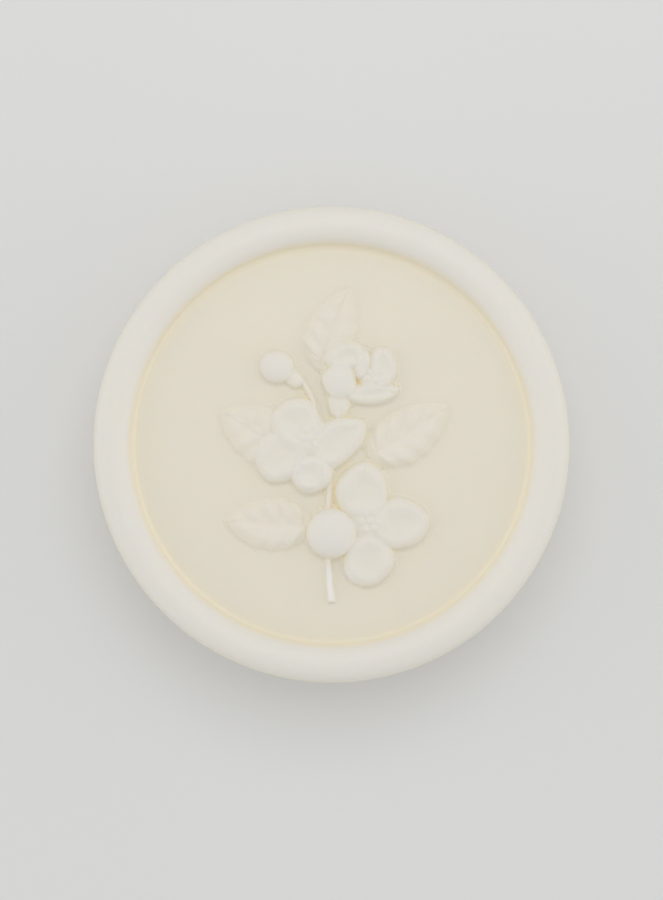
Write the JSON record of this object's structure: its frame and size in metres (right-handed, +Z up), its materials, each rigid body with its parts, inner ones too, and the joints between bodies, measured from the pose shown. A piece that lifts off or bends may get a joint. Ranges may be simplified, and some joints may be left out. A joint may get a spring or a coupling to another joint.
{
  "type": "shaving soap puck",
  "caption": "Round moulded cake of shaving soap with a half-round raised rim and, on the sunk face inside it, a flowering sprig in low relief.",
  "frame": {"origin": "centre of the flat underside, where the puck rests", "axes": "+Z up through the face with the relief; +Y towards the top of the sprig, whose stem foot points along -Y; +X to the right"},
  "size_m": [0.076, 0.076, 0.0231],
  "materials": {
    "soap": "satin"
  },
  "bodies": {
    "root": {"bud_stalk": "soap", "cake_body": "soap", "left_lower_leaf": "soap", "left_upper_leaf": "soap", "lower_bud": "soap", "lower_flower_stamens": "soap", "lower_petal_bottom": "soap", "lower_petal_right": "soap", "lower_petal_top": "soap", "main_stem": "soap", "middle_flower_stamens": "soap", "middle_petal_front": "soap", "middle_petal_left": "soap", "middle_petal_right": "soap", "middle_petal_top": "soap", "raised_rim": "soap", "right_leaf": "soap", "top_flower_calyx": "soap", "top_flower_stamens": "soap", "top_leaf": "soap", "top_petal_back": "soap", "top_petal_front": "soap", "top_petal_left": "soap", "top_petal_middle": "soap", "top_petal_right": "soap", "upper_bud": "soap", "upper_bud_calyx": "soap"}
  },
  "joints": []
}
